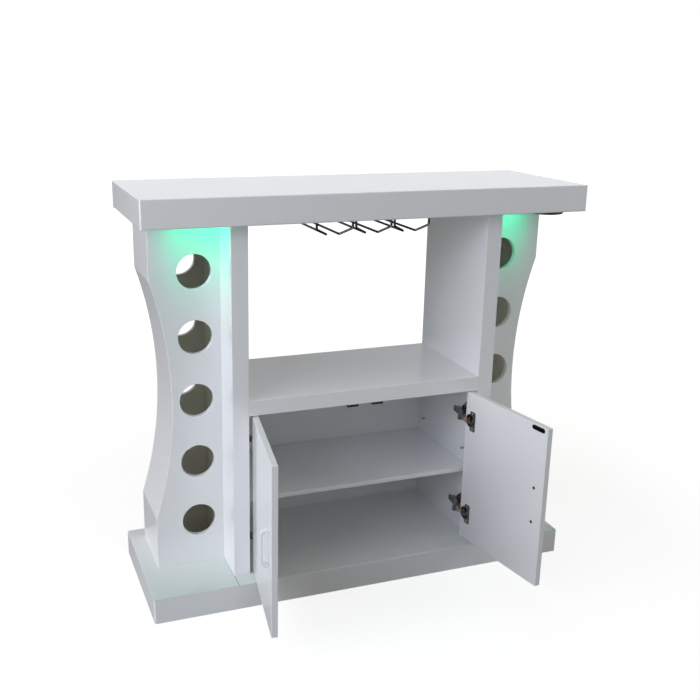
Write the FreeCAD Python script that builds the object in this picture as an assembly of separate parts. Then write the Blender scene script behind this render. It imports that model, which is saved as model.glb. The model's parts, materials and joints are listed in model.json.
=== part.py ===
import FreeCAD, Part
import math
import os

from FreeCAD import Vector

# Bar counter with shelves: a white lacquered cabinet between two bottle towers, under a thick counter slab.
# Millimetres. X runs to the right, Y to the back, Z up. The origin is on the floor, midway under the plinth.
# The doors are modelled in their open rest position.

# ---- driving dimensions ----
WIDTH = 1200.0
DEPTH = 400.0
HEIGHT = 1085.0
SLAB = 70.0  # height of the counter slab
PLINTH = 70.0  # height of the plinth
BOARD = 18.0  # thickness of the carcass boards
SOFT = 4.0  # radius on the upright outer edges of the slab and the plinth, and under the slab
CRISP = 2.0  # radius along the top edges of the slab and the plinth
SEAM = 0.7  # radius on the boards that meet in the plinth's top
EASED = 1.5  # radius on the other visible edges

UPRIGHT_INSIDE = 331.0  # the uprights' inner faces, from the centre plane
UPRIGHT = 44.0  # an upright is two boards side by side behind one lipping
UPRIGHT_FRONT = -150.0
LIPPING = 12.0

TOWER_OUTSIDE = 558.0  # the towers' straight outer faces, from the centre plane
TOWER_FRONT = -44.0
TOWER_DEPTH = 198.0
TOWER_PANEL = 15.0  # front and rear panels
TOWER_SKIN = 9.0  # bent side panel
WAIST_DEPTH = 51.0  # how far the waist curves in
WAIST_HEIGHT = 649.0  # height of the curved stretch
WAIST_MIDDLE = 538.0  # its middle, above the floor

BOTTLE_HOLE = 90.0
BOTTLE_HOLES = 5
BOTTLE_PITCH = 171.0
BOTTLE_COLUMN = 442.0  # the column of holes, from the centre plane

SHELF_TOP = 559.0
MID_SHELF = 41.0  # two boards glued face to face
BACK_PANEL = 4.0
INNER_SHELF_TOP = 281.0
INNER_SHELF = 12.0
INNER_SHELF_FRONT = -131.0
INNER_SHELF_GAP = 1.0
SHELF_PIN = 5.0  # diameter of a pin's shank
PIN_HEAD = 7.0  # diameter of its head
PIN_LENGTH = 10.0  # of the shank and of the head
SPARE_PIN_HEIGHT = 325.0
PIN_SPREAD = 126.0  # the pins' distance before and behind the shelf's middle
DOWEL = 8.0
DOWEL_LENGTH = 28.0
DOWEL_ROWS = (-90.0, 150.0)

DOOR_GAP = 3.0
DOOR = 16.0  # thickness
DOOR_PROUD = 0.5  # how far the closed door stands out of the uprights
DOOR_OPEN = 99.0  # degrees from closed to the rest position
OPEN_CORNER = (11.0, 11.6)  # the open door's outer hinge corner, from the upright's inner front corner

HANDLE_SCREWS = 96.0
HANDLE_EDGE = 34.0  # the handle's distance from the door's free edge
HANDLE_REACH = 22.0
HANDLE_BAR = 6.0
HANDLE_WIDTH = 10.0
HANDLE_BEND = 4.0  # radius where the bar turns into the legs
HANDLE_SOFT = 1.9  # radius along the bar and the legs
HANDLE_BOLT = 4.0  # diameter
HANDLE_HEAD = (8.0, 2.2)  # diameter and height of the bolt's head

CUP = 35.0  # diameter of the hinge cup
CUP_EDGE = 4.0  # from the cup to the door's hinge edge
CUP_FLOOR = 4.6  # board left under the cup
CUP_WALL = 0.8
CUP_FLANGE = 1.0
CUP_RING = 2.0  # how far the flange stands out round the cup
CUP_WING = (58.0, 22.0)  # length and width of the flange's two wings together
CUP_SCREWS = (45.0, 9.5)  # distance between the screws, and how far they lie beyond the cup's centre
WOOD_SCREW = 3.5  # diameter
SCREW_HEAD = (6.8, 1.4)  # diameter and height
HINGE_FROM_END = 80.0
CUP_PIN = (8.6, 9.6)  # the cup's pin, from the door's hinge edge and from its outer face
LINK_REACH = 29.7  # from the chord of the cup pin's travel to the arm's pin
LINK_WIDTH = 10.0
LINK_PLATE = 2.0
LINK_BENDS = ((-17.2, -19.9), (-8.6, -14.5))  # from the arm's pin, with the door closed
LINK_EYE = 2.6  # outer radius of the link's eyes
HINGE_PIN = 1.25  # radius
RUNNING = 0.05  # radial clearance on the hinge pins
CHEEK = 1.6
CHEEK_GAP = 0.4  # from the link to each cheek of the arm
ARM_HALF = 4.0
ARM_ROUTE = ((29.0, 40.0), (17.0, 51.0), (14.0, 96.0))  # from the upright's inner front corner
KNUCKLE = 6.0  # outer radius of the arm's end, round the link's fixed pin
KNUCKLE_PLAY = 1.0  # between the link and the knuckle's slot
ARM_SCREWS = (64.0, 82.0)  # behind the upright's front
ARM_SCREW = 5.0
WALL_PLATE = 2.0
WALL_PLATE_FRONT = 41.0  # behind the upright's front
WALL_PLATE_OUTLINE = ((0.0, 31.0), (14.0, 31.0), (36.0, 11.0))  # upper rear half: depth and height
WALL_PLATE_SLOT = (22.0, 13.0, 2.2)  # depth, height and radius
PLATE_BLOCK = (56.0, 94.0, 12.9)  # the raised block's front, rear and thickness
PLATE_SCREWS = 44.0
PLATE_SCREW_PLACE = 49.0  # behind the upright's front
PLATE_SCREW_LENGTH = 13.0

CATCH_SIZE = (32.0, 14.0, 14.0)
CATCH_MAGNET = (25.0, 10.0, 8.0)
CATCH_CENTRE = 36.0
CATCH_POLE = 1.0  # how far the magnet stands out of its housing
CATCH_AIR = 0.5
STRIKE_LENGTH = 46.0
STRIKE_HEIGHT = 12.0
STRIKE_PLATE = 1.5
STRIKE_TOP = 4.0  # below the door's top edge
STRIKE_SCREW = (3.0, 10.0)  # diameter, and depth in the door

WIRE = 6.0  # diameter of the stemware rack's wire
RACK_PITCH = 106.0
RACK_WING = 36.0
RACK_TWIN = 4.5  # half the distance between a hanger's twin uprights
RACK_FRONT = -150.0
RACK_RAIL_FRONT = -137.0
RACK_BACK = 150.0
RACK_RAIL_DROP = 40.0
RACK_BEND_DROP = 24.0
RACK_BAR = (22.0, 3.0)  # width and thickness of the two mounting bars
RACK_BAR_OVERHANG = 20.0  # past the outermost hangers
RACK_SCREW_INSET = 9.0
RACK_SCREW_DEPTH = 14.0

LED_BAR = (95.0, 10.0, 4.0)
LED_BAR_GAP = 10.0  # from the upright
LED_BAR_AHEAD = 50.0  # from the tower's front panel to the bar's middle
LED_BOX_RADIUS = 48.0
LED_BOX_HEIGHT = 15.0
LED_BOX_CENTRE = 538.0
LED_BOX_SOFT = 4.0

# ---- worked-out values ----
HALF_WIDTH = WIDTH / 2.0
FRONT = -DEPTH / 2.0
BACK = DEPTH / 2.0
SLAB_UNDER = HEIGHT - SLAB
UPRIGHT_OUTSIDE = UPRIGHT_INSIDE + UPRIGHT
TOWER_BACK = TOWER_FRONT + TOWER_DEPTH
SHELF_UNDER = SHELF_TOP - MID_SHELF
DOOR_BOTTOM = PLINTH + DOOR_GAP
DOOR_TOP = SHELF_UNDER - DOOR_GAP
DOOR_WIDTH = UPRIGHT_INSIDE - 1.5 * DOOR_GAP
CUP_CENTRE = CUP_EDGE + CUP / 2.0
HINGE_HEIGHTS = (DOOR_TOP - HINGE_FROM_END, DOOR_BOTTOM + HINGE_FROM_END)
HANDLE_MIDDLE = (DOOR_BOTTOM + DOOR_TOP) / 2.0
HANDLE_PLACE = DOOR_WIDTH - HANDLE_EDGE
WALL = -UPRIGHT_INSIDE
INNER_SHELF_MIDDLE = (INNER_SHELF_FRONT + BACK - BACK_PANEL) / 2.0
SHELF_PIN_HEIGHTS = (INNER_SHELF_TOP - INNER_SHELF - PIN_HEAD / 2.0, SPARE_PIN_HEIGHT)
TINY = 0.01

parts = {}


# ---- helpers ----
def block(x0, x1, y0, y1, z0, z1):
    """A box between two corners, given axis by axis."""
    return Part.makeBox(x1 - x0, y1 - y0, z1 - z0, Vector(x0, y0, z0))


def rod(radius, start, direction, length):
    """A plain round bar."""
    return Part.makeCylinder(radius, length, Vector(*start), Vector(*direction))


def face_of(points, height):
    """A flat closed polygon at one height, from (x, y) points."""
    corners = [Vector(x, y, height) for x, y in points]
    return Part.Face(Part.makePolygon(corners + corners[:1]))


def eased(shape, radius, test):
    """Rounds the edges whose bounding box passes the test."""
    edges = [edge for edge in shape.Edges if test(edge.BoundBox)]
    return shape.makeFillet(radius, edges)


def flat(low, high, at):
    """True if an edge's extent from low to high lies at one value."""
    return abs(low - at) < TINY and abs(high - at) < TINY


def mirrored(shape):
    """The same piece on the other side of the centre plane."""
    return shape.mirror(Vector(0, 0, 0), Vector(1, 0, 0))


def group(shapes):
    """Several loose solids kept as one named piece."""
    return Part.makeCompound([solid for shape in shapes for solid in shape.Solids])


def both_sides(name, shape):
    """Files a left-hand piece and its right-hand twin."""
    parts["left_" + name] = shape
    parts["right_" + name] = mirrored(shape)


def strip(route, half, z0, z1):
    """A plate of constant width along a route in plan, with round ends and corners."""
    shape = None
    for (x0, y0), (x1, y1) in zip(route, route[1:]):
        length = math.hypot(x1 - x0, y1 - y0)
        nx = -(y1 - y0) / length * half
        ny = (x1 - x0) / length * half
        corners = [(x0 + nx, y0 + ny), (x1 + nx, y1 + ny), (x1 - nx, y1 - ny), (x0 - nx, y0 - ny)]
        piece = face_of(corners, z0).extrude(Vector(0, 0, z1 - z0))
        piece = piece.fuse(rod(half, (x1, y1, z0), (0, 0, 1), z1 - z0))
        shape = piece if shape is None else shape.fuse(piece)
    shape = shape.fuse(rod(half, (route[0][0], route[0][1], z0), (0, 0, 1), z1 - z0))
    return shape.removeSplitter()


def bent_wire(points, radius, bend):
    """A round wire along straight runs joined by tangent arcs."""
    corners = [Vector(*point) for point in points]
    edges = []
    start = corners[0]
    for before, corner, after in zip(corners, corners[1:], corners[2:]):
        into = (before - corner).normalize()
        out = (after - corner).normalize()
        half_angle = into.getAngle(out) / 2.0
        trim = bend / math.tan(half_angle)
        first = corner + into * trim
        last = corner + out * trim
        middle = corner + (into + out).normalize() * (bend / math.sin(half_angle) - bend)
        edges.append(Part.LineSegment(start, first).toShape())
        edges.append(Part.Arc(first, middle, last).toShape())
        start = last
    edges.append(Part.LineSegment(start, corners[-1]).toShape())
    heading = (corners[1] - corners[0]).normalize()
    profile = Part.Wire(Part.makeCircle(radius, corners[0], heading))
    return Part.Wire(edges).makePipeShell([profile], True, True)


# ---- door and hinge geometry, left side ----
def from_corner(x, y):
    """Plan position measured from the left upright's inner front corner, x into the opening."""
    return (WALL + x, UPRIGHT_FRONT + y)


CLOSED_CORNER = from_corner(DOOR_GAP, -DOOR_PROUD)
REST_CORNER = from_corner(*OPEN_CORNER)


def door_point(along, inward, angle):
    """Plan position of a point of the door, closed or at rest, from its hinge edge and its outer face."""
    turn = math.radians(angle)
    corner = REST_CORNER if angle else CLOSED_CORNER
    x = corner[0] + along * math.cos(turn) + inward * math.sin(turn)
    y = corner[1] - along * math.sin(turn) + inward * math.cos(turn)
    return (x, y)


def arm_pin():
    """The link's fixed pin: equally far from the cup pin's closed and open places."""
    closed = door_point(*CUP_PIN, 0.0)
    opened = door_point(*CUP_PIN, DOOR_OPEN)
    chord = math.hypot(opened[0] - closed[0], opened[1] - closed[1])
    across = ((closed[1] - opened[1]) / chord, (opened[0] - closed[0]) / chord)
    x = (closed[0] + opened[0]) / 2.0 + LINK_REACH * across[0]
    y = (closed[1] + opened[1]) / 2.0 + LINK_REACH * across[1]
    return (x, y)


ARM_PIN = arm_pin()
CUP_PIN_CLOSED = door_point(*CUP_PIN, 0.0)
CUP_PIN_OPEN = door_point(*CUP_PIN, DOOR_OPEN)


def bearing(point):
    """Plan direction of a point from the arm's pin, in radians."""
    return math.atan2(point[1] - ARM_PIN[1], point[0] - ARM_PIN[0])


LINK_TURN = math.degrees(bearing(CUP_PIN_OPEN) - bearing(CUP_PIN_CLOSED))


def opened(shape):
    """Carries a piece of the left door from closed to the open rest position."""
    shape = shape.copy()
    shape.rotate(Vector(*CLOSED_CORNER, 0), Vector(0, 0, 1), -DOOR_OPEN)
    shape.translate(Vector(REST_CORNER[0] - CLOSED_CORNER[0], REST_CORNER[1] - CLOSED_CORNER[1], 0))
    return shape


def on_door(along, inward, z):
    """A point of the closed left door."""
    return (CLOSED_CORNER[0] + along, CLOSED_CORNER[1] + inward, z)


# ---- counter slab ----
def counter_slab():
    top_board = block(-HALF_WIDTH, HALF_WIDTH, FRONT, BACK, HEIGHT - BOARD, HEIGHT)
    top_board = eased(top_board, SOFT, lambda b: b.ZLength > BOARD / 2)
    parts["top_board"] = eased(top_board, CRISP, lambda b: flat(b.ZMin, b.ZMax, HEIGHT))
    z0 = SLAB_UNDER
    z1 = HEIGHT - BOARD
    front = block(-HALF_WIDTH, HALF_WIDTH, FRONT, FRONT + BOARD, z0, z1)
    parts["top_front_fascia"] = eased(
        front,
        SOFT,
        lambda b: flat(b.YMin, b.YMax, FRONT) and (flat(b.ZMin, b.ZMax, z0) or b.ZLength > BOARD),
    )
    rear = block(-HALF_WIDTH, HALF_WIDTH, BACK - BOARD, BACK, z0, z1)
    parts["top_rear_fascia"] = eased(
        rear,
        SOFT,
        lambda b: flat(b.YMin, b.YMax, BACK) and (flat(b.ZMin, b.ZMax, z0) or b.ZLength > BOARD),
    )
    side = block(-HALF_WIDTH, BOARD - HALF_WIDTH, FRONT + BOARD, BACK - BOARD, z0, z1)
    side = eased(side, SOFT, lambda b: flat(b.XMin, b.XMax, -HALF_WIDTH) and flat(b.ZMin, b.ZMax, z0))
    both_sides("top_fascia", side)
    inside = HALF_WIDTH - BOARD
    parts["top_underside_board"] = block(-inside, inside, FRONT + BOARD, BACK - BOARD, z0, z0 + BOARD)
    ribs = []
    for centre in (-UPRIGHT_INSIDE - UPRIGHT / 2.0, -UPRIGHT_INSIDE / 3.0):
        rib = block(centre - BOARD / 2, centre + BOARD / 2, FRONT + BOARD, BACK - BOARD, z0 + BOARD, z1)
        ribs += [rib, mirrored(rib)]
    parts["top_core_ribs"] = group(ribs)


# ---- plinth ----
def plinth():
    z1 = PLINTH - BOARD
    front = block(-HALF_WIDTH, HALF_WIDTH, FRONT, FRONT + BOARD, 0, z1)
    parts["plinth_front_fascia"] = eased(
        front, SOFT, lambda b: flat(b.YMin, b.YMax, FRONT) and b.ZLength > BOARD
    )
    rear = block(-HALF_WIDTH, HALF_WIDTH, BACK - BOARD, BACK, 0, z1)
    parts["plinth_rear_fascia"] = eased(
        rear, SOFT, lambda b: flat(b.YMin, b.YMax, BACK) and b.ZLength > BOARD
    )
    both_sides("plinth_fascia", block(-HALF_WIDTH, BOARD - HALF_WIDTH, FRONT + BOARD, BACK - BOARD, 0, z1))
    cover = block(-HALF_WIDTH, -UPRIGHT_OUTSIDE, FRONT, BACK, z1, PLINTH)
    inner = -UPRIGHT_OUTSIDE
    cover = eased(cover, SOFT, lambda b: b.ZLength > BOARD / 2 and flat(b.XMin, b.XMax, -HALF_WIDTH))
    cover = eased(cover, CRISP, lambda b: flat(b.ZMin, b.ZMax, PLINTH) and not flat(b.XMin, b.XMax, inner))
    cover = eased(cover, SEAM, lambda b: flat(b.ZMin, b.ZMax, PLINTH) and flat(b.XMin, b.XMax, inner))
    both_sides("plinth_cover", cover)
    front_strip = block(-UPRIGHT_OUTSIDE, UPRIGHT_OUTSIDE, FRONT, UPRIGHT_FRONT, z1, PLINTH)
    front_strip = eased(
        front_strip, CRISP, lambda b: flat(b.YMin, b.YMax, FRONT) and flat(b.ZMin, b.ZMax, PLINTH)
    )
    parts["plinth_front_strip"] = eased(
        front_strip, SEAM, lambda b: flat(b.ZMin, b.ZMax, PLINTH) and b.YMax > UPRIGHT_FRONT - 1.0
    )
    floor = block(-UPRIGHT_OUTSIDE, UPRIGHT_OUTSIDE, UPRIGHT_FRONT, BACK, z1, PLINTH)
    floor = eased(floor, CRISP, lambda b: flat(b.YMin, b.YMax, BACK) and flat(b.ZMin, b.ZMax, PLINTH))
    parts["cabinet_floor"] = eased(
        floor, SEAM, lambda b: flat(b.YMin, b.YMax, UPRIGHT_FRONT) and flat(b.ZMin, b.ZMax, PLINTH)
    )
    ribs = []
    for step in (-2, -1, 0, 1, 2):
        centre = step * UPRIGHT_OUTSIDE / 2.0
        ribs.append(block(centre - BOARD / 2, centre + BOARD / 2, FRONT + BOARD, BACK - BOARD, 0, z1))
    parts["plinth_ribs"] = group(ribs)


# ---- uprights, shelves and cabinet ----
def uprights():
    z0 = PLINTH
    z1 = SLAB_UNDER
    behind = UPRIGHT_FRONT + LIPPING
    lipping = block(-UPRIGHT_OUTSIDE, WALL, UPRIGHT_FRONT, behind, z0, z1)
    lipping = eased(lipping, EASED, lambda b: b.ZLength > SLAB and flat(b.YMin, b.YMax, UPRIGHT_FRONT))
    both_sides("upright_lipping", lipping)
    middle = WALL - UPRIGHT / 2.0
    both_sides("upright_inner_board", block(middle, WALL, behind, BACK, z0, z1))
    both_sides("upright_outer_board", block(-UPRIGHT_OUTSIDE, middle, behind, BACK, z0, z1))


def shelves():
    behind = UPRIGHT_FRONT + LIPPING
    parts["mid_shelf_board"] = block(WALL, -WALL, behind, BACK, SHELF_UNDER, SHELF_TOP)
    lipping = block(WALL, -WALL, UPRIGHT_FRONT, behind, SHELF_UNDER, SHELF_TOP)
    parts["mid_shelf_lipping"] = eased(
        lipping, EASED, lambda b: b.XLength > SLAB and flat(b.YMin, b.YMax, UPRIGHT_FRONT)
    )
    parts["cabinet_back_panel"] = block(WALL, -WALL, BACK - BACK_PANEL, BACK, PLINTH, SHELF_UNDER)
    half = -WALL - INNER_SHELF_GAP
    shelf_back = BACK - BACK_PANEL - INNER_SHELF_GAP
    shelf_under = INNER_SHELF_TOP - INNER_SHELF
    shelf = block(-half, half, INNER_SHELF_FRONT, shelf_back, shelf_under, INNER_SHELF_TOP)
    parts["interior_shelf"] = eased(
        shelf, EASED, lambda b: b.XLength > SLAB and flat(b.YMin, b.YMax, INNER_SHELF_FRONT)
    )


def shelf_pin(y, z):
    """A pin whose shank sits in the left wall and whose thicker head stands out of it."""
    shank = rod(SHELF_PIN / 2.0, (WALL - PIN_LENGTH, y, z), (1, 0, 0), PIN_LENGTH)
    head = rod(PIN_HEAD / 2.0, (WALL, y, z), (1, 0, 0), PIN_LENGTH)
    return shank.fuse(head)


def shelf_pins():
    pins = []
    for z in SHELF_PIN_HEIGHTS:
        for y in (INNER_SHELF_MIDDLE - PIN_SPREAD, INNER_SHELF_MIDDLE + PIN_SPREAD):
            pins.append(shelf_pin(y, z))
    pins += [mirrored(pin) for pin in pins]
    parts["shelf_pins"] = group(pins)


def frame_dowels():
    """Wooden dowels that join the uprights to the slab above and to the floor board below."""
    dowels = []
    for x in (WALL - UPRIGHT / 4.0, WALL - 3.0 * UPRIGHT / 4.0):
        for y in DOWEL_ROWS:
            for z in (PLINTH, SLAB_UNDER):
                dowels.append(rod(DOWEL / 2.0, (x, y, z - DOWEL_LENGTH / 2.0), (0, 0, 1), DOWEL_LENGTH))
    dowels += [mirrored(dowel) for dowel in dowels]
    parts["frame_dowels"] = group(dowels)


# ---- bottle towers ----
def waist_arc(shift=0.0):
    """The tower's curved outer edge in the front plane, from bottom to top."""
    low = WAIST_MIDDLE - WAIST_HEIGHT / 2.0
    high = WAIST_MIDDLE + WAIST_HEIGHT / 2.0
    outer = -TOWER_OUTSIDE + shift
    return Part.Arc(
        Vector(outer, 0, low),
        Vector(outer + WAIST_DEPTH, 0, WAIST_MIDDLE),
        Vector(outer, 0, high),
    )


def tower_edge(shift=0.0):
    """The whole outer edge: a straight foot, the waist and a straight head."""
    arc = waist_arc(shift)
    foot = Part.LineSegment(Vector(-TOWER_OUTSIDE + shift, 0, PLINTH), arc.StartPoint)
    head = Part.LineSegment(arc.EndPoint, Vector(-TOWER_OUTSIDE + shift, 0, SLAB_UNDER))
    return [foot.toShape(), arc.toShape(), head.toShape()]


def tower_face(inners, outer_edges):
    """A closed face between an outer edge and an inner one, both from bottom to top."""
    top = Part.LineSegment(outer_edges[-1].Vertexes[-1].Point, inners[-1].Vertexes[-1].Point)
    bottom = Part.LineSegment(outer_edges[0].Vertexes[0].Point, inners[0].Vertexes[0].Point)
    wire = Part.Wire(Part.__sortEdges__(outer_edges + [top.toShape()] + inners + [bottom.toShape()]))
    return Part.Face(wire)


def hole_heights():
    first = WAIST_MIDDLE - BOTTLE_PITCH * (BOTTLE_HOLES - 1) / 2.0
    return [first + BOTTLE_PITCH * i for i in range(BOTTLE_HOLES)]


def towers():
    wall = Part.LineSegment(Vector(-UPRIGHT_OUTSIDE, 0, PLINTH), Vector(-UPRIGHT_OUTSIDE, 0, SLAB_UNDER))
    face = tower_face([wall.toShape()], tower_edge())
    for name, y in (("front_panel", TOWER_FRONT), ("rear_panel", TOWER_BACK - TOWER_PANEL)):
        panel = face.extrude(Vector(0, TOWER_PANEL, 0))
        panel.translate(Vector(0, y, 0))
        for z in hole_heights():
            hole = rod(BOTTLE_HOLE / 2.0, (-BOTTLE_COLUMN, y, z), (0, 1, 0), TOWER_PANEL)
            panel = panel.cut(hole)
        outer = y if name == "front_panel" else y + TOWER_PANEL
        rims = [edge for edge in panel.Edges if is_tower_rim(edge, outer)]
        panel = panel.makeFillet(EASED, rims)
        both_sides("tower_" + name, panel)
    skin = tower_face(tower_edge(TOWER_SKIN), tower_edge())
    skin = skin.extrude(Vector(0, TOWER_DEPTH - 2 * TOWER_PANEL, 0))
    skin.translate(Vector(0, TOWER_FRONT + TOWER_PANEL, 0))
    both_sides("tower_side_panel", skin)


def is_tower_rim(edge, y):
    """A hole's rim or the panel's curved outer edge, on its outward face."""
    box = edge.BoundBox
    if not flat(box.YMin, box.YMax, y):
        return False
    hole = box.XLength < BOTTLE_HOLE + 1 and abs(box.Center.x + BOTTLE_COLUMN) < 1 and box.ZLength > TINY
    return hole or (box.XMax < -TOWER_OUTSIDE + WAIST_DEPTH + 1 and box.ZLength > TINY)


# ---- doors ----
def door_board():
    left, front, _ = on_door(0, 0, 0)
    board = block(left, left + DOOR_WIDTH, front, front + DOOR, DOOR_BOTTOM, DOOR_TOP)
    board = eased(board, EASED, lambda b: True)
    for z in HINGE_HEIGHTS:
        board = board.cut(rod(CUP / 2.0, on_door(CUP_CENTRE, CUP_FLOOR, z), (0, 1, 0), DOOR))
        for side in (-1, 1):
            board = board.cut(cup_screw(z + side * CUP_SCREWS[0] / 2.0))
    for screw in handle_screw_pair():
        board = board.cut(screw)
    return board.cut(strike_screw())


def handle():
    """A bow handle on the outer face: a straight bar, two legs and a flat tail past each leg."""
    reach = HANDLE_REACH
    bar = HANDLE_REACH - HANDLE_BAR
    leg = HANDLE_SCREWS / 2.0
    outer = [(0, leg + 18), (2, leg + 17), (4.5, leg + 4), (reach - 4, leg - 3), (reach, leg - 9)]
    inner = [(0, leg - 3), (bar - 3, leg - 12), (bar, leg - 16)]
    outline = outer + [(o, -z) for o, z in reversed(outer)] + [(o, -z) for o, z in inner]
    outline += [(o, z) for o, z in reversed(inner)]
    corners = [Vector(0, -o, z) for o, z in outline]
    face = Part.Face(Part.makePolygon(corners + corners[:1]))
    solid = face.extrude(Vector(HANDLE_WIDTH, 0, 0))
    solid = eased(solid, HANDLE_BEND, lambda b: b.YMax < -3.0 and b.XLength > 1)
    solid = eased(solid, HANDLE_SOFT, lambda b: b.YMax < -0.5 and b.XLength < 1)
    x, y, z = on_door(HANDLE_PLACE - HANDLE_WIDTH / 2.0, 0, HANDLE_MIDDLE)
    solid.translate(Vector(x, y, z))
    for screw in handle_screw_pair():
        solid = solid.cut(screw)
    return solid


def handle_screw_pair():
    screws = []
    for side in (-1, 1):
        z = HANDLE_MIDDLE + side * HANDLE_SCREWS / 2.0
        shank = rod(HANDLE_BOLT / 2.0, on_door(HANDLE_PLACE, -4.0, z), (0, 1, 0), DOOR + 4.0)
        head = rod(HANDLE_HEAD[0] / 2.0, on_door(HANDLE_PLACE, DOOR, z), (0, 1, 0), HANDLE_HEAD[1])
        top = head.BoundBox.YMax
        head = eased(head, 1.0, lambda b: flat(b.YMin, b.YMax, top))
        screws.append(shank.fuse(head))
    return screws


def strike_centre():
    return DOOR_TOP - STRIKE_TOP - STRIKE_HEIGHT / 2.0


def strike_screw():
    z = strike_centre()
    at = HANDLE_PLACE + STRIKE_LENGTH / 4.0
    width, depth = STRIKE_SCREW
    return rod(width / 2.0, on_door(at, DOOR - depth, z), (0, 1, 0), depth + STRIKE_PLATE)


def strike_plate():
    """A steel plate with round ends that the magnet holds, and its countersunk screw."""
    z = strike_centre()
    round_end = STRIKE_HEIGHT / 2.0
    straight = STRIKE_LENGTH / 2.0 - round_end
    x, y, _ = on_door(HANDLE_PLACE, DOOR, z)
    plate = block(x - straight, x + straight, y, y + STRIKE_PLATE, z - round_end, z + round_end)
    for side in (-1, 1):
        plate = plate.fuse(rod(round_end, (x + side * straight, y, z), (0, 1, 0), STRIKE_PLATE))
    plate = plate.removeSplitter()
    screw = strike_screw()
    return group([plate.cut(screw), screw])


# ---- hinges ----
def cup_screw(z):
    depth = CUP_FLANGE + DOOR - CUP_FLOOR
    at = CUP_CENTRE + CUP_SCREWS[1]
    shank = rod(WOOD_SCREW / 2.0, on_door(at, CUP_FLOOR, z), (0, 1, 0), depth)
    head = rod(SCREW_HEAD[0] / 2.0, on_door(at, DOOR + CUP_FLANGE, z), (0, 1, 0), SCREW_HEAD[1])
    return shank.fuse(head)


def hinge_cup(z):
    """The pressed cup with its flange and the pin that the link turns on."""
    outer = rod(CUP / 2.0, on_door(CUP_CENTRE, CUP_FLOOR, z), (0, 1, 0), DOOR - CUP_FLOOR)
    floor = CUP_FLOOR + CUP_WALL
    hollow = rod(CUP / 2.0 - CUP_WALL, on_door(CUP_CENTRE, floor, z), (0, 1, 0), DOOR)
    x, y, _ = on_door(CUP_CENTRE, DOOR, z)
    ring_radius = CUP / 2.0 + CUP_RING
    ring = rod(ring_radius, (x, y, z), (0, 1, 0), CUP_FLANGE)
    length, width = CUP_WING
    far = x + ring_radius + EASED
    wing = block(far - width, far, y, y + CUP_FLANGE, z - length / 2.0, z + length / 2.0)
    wing = eased(wing, SOFT, lambda b: b.YLength > CUP_FLANGE / 2 and b.XLength < 1 and b.ZLength < 1)
    notch_half = LINK_WIDTH / 2.0 + 2.0
    edge = CLOSED_CORNER[0]
    notch = block(edge, edge + CUP_CENTRE, y, y + 2 * CUP_FLANGE, z - notch_half, z + notch_half)
    shape = outer.fuse(ring).fuse(wing).cut(hollow).cut(notch)
    pin_x, pin_y, _ = on_door(CUP_PIN[0], CUP_PIN[1], z)
    offset = CUP_CENTRE - CUP_PIN[0]
    reach = math.sqrt((CUP / 2.0) ** 2 - offset**2)
    pin = rod(HINGE_PIN, (pin_x, pin_y, z - reach), (0, 0, 1), 2 * reach)
    shape = shape.fuse(pin.common(outer))
    for side in (-1, 1):
        shape = shape.cut(cup_screw(z + side * CUP_SCREWS[0] / 2.0))
    return shape


def hinge_link(z):
    """The bent link between the arm's pin and the cup's pin, at the open rest position."""
    turn = math.radians(LINK_TURN)
    bends = []
    for x, y in reversed(LINK_BENDS):
        bends.append(
            (
                ARM_PIN[0] + x * math.cos(turn) - y * math.sin(turn),
                ARM_PIN[1] + x * math.sin(turn) + y * math.cos(turn),
            )
        )
    z0 = z - LINK_WIDTH / 2.0
    z1 = z + LINK_WIDTH / 2.0
    shape = strip([ARM_PIN, *bends, CUP_PIN_OPEN], LINK_PLATE / 2.0, z0, z1)
    for x, y in (ARM_PIN, CUP_PIN_OPEN):
        shape = shape.fuse(rod(LINK_EYE, (x, y, z0), (0, 0, 1), LINK_WIDTH))
    for x, y in (ARM_PIN, CUP_PIN_OPEN):
        shape = shape.cut(rod(HINGE_PIN + RUNNING, (x, y, z0 - 1), (0, 0, 1), LINK_WIDTH + 2))
    return shape.removeSplitter()


def knuckle(z, half):
    """The arm's round end, slotted where the link turns."""
    shape = rod(KNUCKLE, (*ARM_PIN, z - half), (0, 0, 1), 2 * half)
    shape = shape.cut(rod(LINK_EYE + KNUCKLE_PLAY, (*ARM_PIN, z - half), (0, 0, 1), 2 * half))
    first = math.atan2(LINK_BENDS[1][1], LINK_BENDS[1][0])
    side = LINK_PLATE / 2.0 + KNUCKLE_PLAY
    corners = []
    for turn, lean in ((first, -side), (first + math.radians(LINK_TURN), side)):
        lean = lean * math.copysign(1.0, LINK_TURN)
        foot = (ARM_PIN[0] - lean * math.sin(turn), ARM_PIN[1] + lean * math.cos(turn))
        tip = (foot[0] + 2 * KNUCKLE * math.cos(turn), foot[1] + 2 * KNUCKLE * math.sin(turn))
        corners.append((foot, tip))
    outline = [corners[0][0], corners[0][1], corners[1][1], corners[1][0]]
    return shape.cut(face_of(outline, z - half).extrude(Vector(0, 0, 2 * half)))


def hinge_arm(z):
    """The U-section arm on the wall plate, with the link's fixed pin between its cheeks."""
    inner = LINK_WIDTH / 2.0 + CHEEK_GAP
    outer = inner + CHEEK
    route = [ARM_PIN] + [from_corner(*point) for point in ARM_ROUTE]
    shape = knuckle(z, inner)
    for low in (z - outer, z + inner):
        cheek = strip(route, ARM_HALF, low, low + CHEEK)
        shape = shape.fuse(cheek.fuse(rod(KNUCKLE, (*ARM_PIN, low), (0, 0, 1), CHEEK)))
    web = strip(route[2:], ARM_HALF, z - outer, z + outer)
    inside = strip([(x - CHEEK, y) for x, y in route[2:]], ARM_HALF, z - inner, z + inner)
    shape = shape.fuse(web.cut(inside))
    shape = shape.fuse(rod(HINGE_PIN, (*ARM_PIN, z - outer), (0, 0, 1), 2 * outer))
    for screw in arm_screws(z):
        shape = shape.cut(screw)
    return shape


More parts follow.
